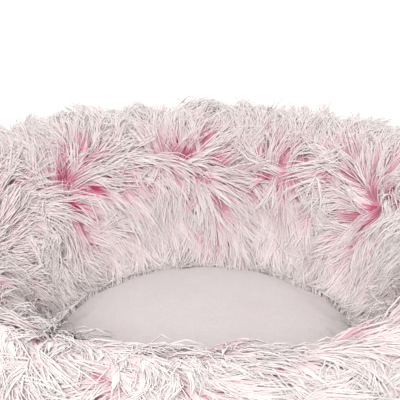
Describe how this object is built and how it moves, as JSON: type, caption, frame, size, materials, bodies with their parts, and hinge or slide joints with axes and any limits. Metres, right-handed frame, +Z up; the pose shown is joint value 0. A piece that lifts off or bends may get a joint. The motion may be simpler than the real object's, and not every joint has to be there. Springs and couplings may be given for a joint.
{
  "type": "round pet bed",
  "caption": "Round pet bed with a raised long-pile fur rim, a zipped base and a loose crowned plush cushion in its well.",
  "frame": {"origin": "centre of the bed's underside, on the floor", "axes": "+Z up along the bed's round axis, +Y to the back, where the two zips are centred"},
  "size_m": [0.58, 0.58, 0.182],
  "materials": {
    "fur": "long pile",
    "plush": "short pile",
    "base_oxford": "woven",
    "trim_cloth": "woven",
    "lining": "non-woven",
    "fibre": "fibre",
    "zip_tape": "woven",
    "zip_coil": "satin",
    "zip_metal": "satin"
  },
  "bodies": {
    "bed": {"fur_cover": "fur", "rim_liner": "lining", "rim_fill": "fibre", "base_cloth": "base_oxford", "base_padding": "fibre", "base_piping": "trim_cloth", "well_floor_cloth": "lining", "cover_side_band": "trim_cloth", "cover_zip_tape_upper": "zip_tape", "cover_zip_tape_lower": "zip_tape", "cover_zip_coil_upper": "zip_coil", "cover_zip_coil_lower": "zip_coil", "cover_zip_top_stop_upper": "zip_metal", "cover_zip_top_stop_lower": "zip_metal", "cover_zip_bottom_stop": "zip_metal"},
    "cushion": {"cushion_top": "plush", "cushion_underside": "base_oxford", "cushion_liner": "lining", "cushion_fill": "fibre", "cushion_side_band": "trim_cloth", "cushion_zip_tape_upper": "zip_tape", "cushion_zip_tape_lower": "zip_tape", "cushion_zip_coil_upper": "zip_coil", "cushion_zip_coil_lower": "zip_coil", "cushion_zip_top_stop_upper": "zip_metal", "cushion_zip_top_stop_lower": "zip_metal", "cushion_zip_bottom_stop": "zip_metal"},
    "cover_slider": {"cover_zip_slider": "zip_metal"},
    "cover_pull": {"cover_zip_pull": "zip_metal"},
    "cushion_slider": {"cushion_zip_slider": "zip_metal"},
    "cushion_pull": {"cushion_zip_pull": "zip_metal"}
  },
  "joints": [
    {"name": "cover_zip_travel", "type": "hinge", "parent": "bed", "child": "cover_slider", "pos_m": [0, 0, 0.01615], "axis": [0, 0, 1], "range_deg": [-103.2, 0]},
    {"name": "cover_pull_swing", "type": "hinge", "parent": "cover_slider", "child": "cover_pull", "pos_m": [-0.2096, 0.16601, 0.01615], "axis": [0, 0, 1], "range_deg": [0, 180]},
    {"name": "cushion_lift", "type": "slide", "parent": "bed", "child": "cushion", "axis": [0, 0, 1], "range_m": [0, 0.2]},
    {"name": "cushion_zip_travel", "type": "hinge", "parent": "cushion", "child": "cushion_slider", "pos_m": [0, 0, 0.02615], "axis": [0, 0, 1], "range_deg": [-96.3, 0]},
    {"name": "cushion_pull_swing", "type": "hinge", "parent": "cushion_slider", "child": "cushion_pull", "pos_m": [-0.08952, 0.08012, 0.02615], "axis": [0, 0, 1], "range_deg": [0, 180]}
  ]
}
